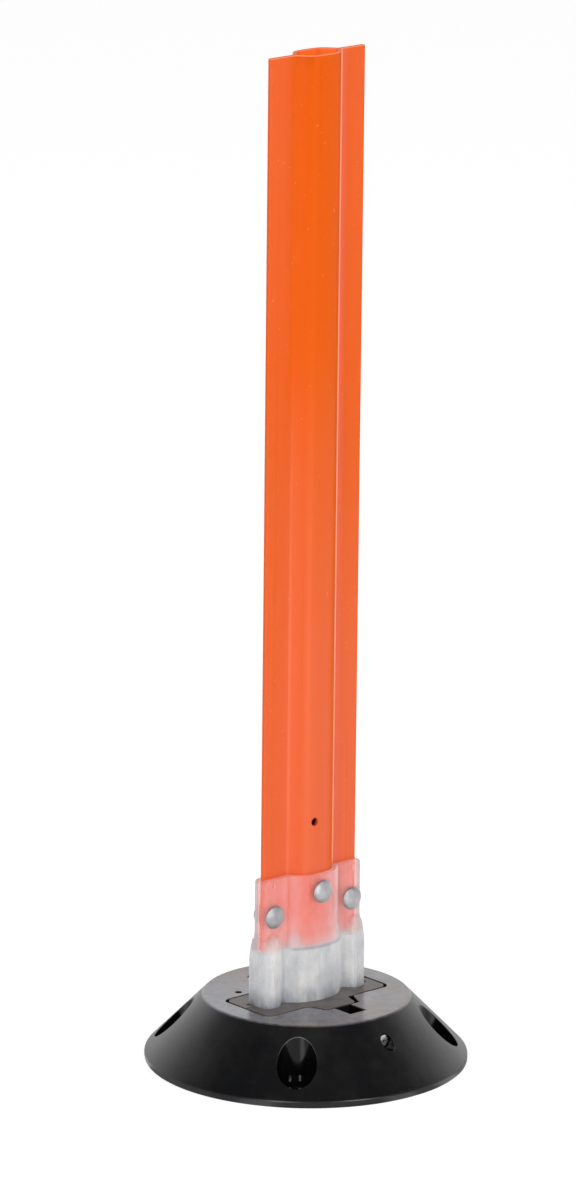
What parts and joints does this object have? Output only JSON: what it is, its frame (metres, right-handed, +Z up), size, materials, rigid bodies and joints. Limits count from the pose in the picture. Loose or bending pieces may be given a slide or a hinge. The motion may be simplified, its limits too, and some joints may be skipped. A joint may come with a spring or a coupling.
{
  "type": "delineator post",
  "caption": "Flexible traffic delineator: hollow finned post riveted in a translucent boot that springs back from a round surface-mount base.",
  "frame": {"origin": "centre of the base on the ground", "axes": "+Z up along the upright post, +X along the wide face of the post, -Y out of the side the side rivets' heads face"},
  "size_m": [0.2032, 0.2032, 0.642],
  "materials": {
    "black_base": "moulded black polymer, satin with fine scuffs",
    "grey_insert": "moulded dark grey-brown polymer, matt",
    "clear_boot": "milky translucent flexible urethane, satin",
    "orange_post": "extruded orange polymer, semi-gloss",
    "spring_steel": "rolled spring steel, dull",
    "zinc_steel": "zinc-plated steel",
    "rivet_aluminium": "satin aluminium, lightly scuffed"
  },
  "bodies": {
    "base": {"base_body": "black_base", "insert_front_half": "grey_insert", "insert_rear_half": "grey_insert", "hinge_boot": "clear_boot", "foot_screw_left": "zinc_steel", "foot_screw_right": "zinc_steel", "foot_washer_left": "zinc_steel", "foot_washer_right": "zinc_steel", "foot_nut_left": "zinc_steel", "foot_nut_right": "zinc_steel"},
    "pin_front": {"locking_pin_front": "spring_steel"},
    "pin_rear": {"locking_pin_rear": "spring_steel"},
    "upright": {"post": "orange_post", "rivet_left": "rivet_aluminium", "rivet_right": "rivet_aluminium", "rivet_washer_left": "rivet_aluminium", "rivet_washer_right": "rivet_aluminium", "rivet_centre_front": "rivet_aluminium", "rivet_centre_rear": "rivet_aluminium"}
  },
  "joints": [
    {"name": "post_bend", "type": "hinge", "parent": "base", "child": "upright", "pos_m": [0, 0, 0.061], "axis": [1, 0, 0], "range_deg": [-90, 90], "stiffness_Nm_per_rad": 12, "deforming": ["hinge_boot"]},
    {"name": "pin_front_slide", "type": "slide", "parent": "base", "child": "pin_front", "axis": [0, -1, 0], "range_m": [0, 0.06]},
    {"name": "pin_rear_slide", "type": "slide", "parent": "base", "child": "pin_rear", "axis": [0, 1, 0], "range_m": [0, 0.06]}
  ]
}
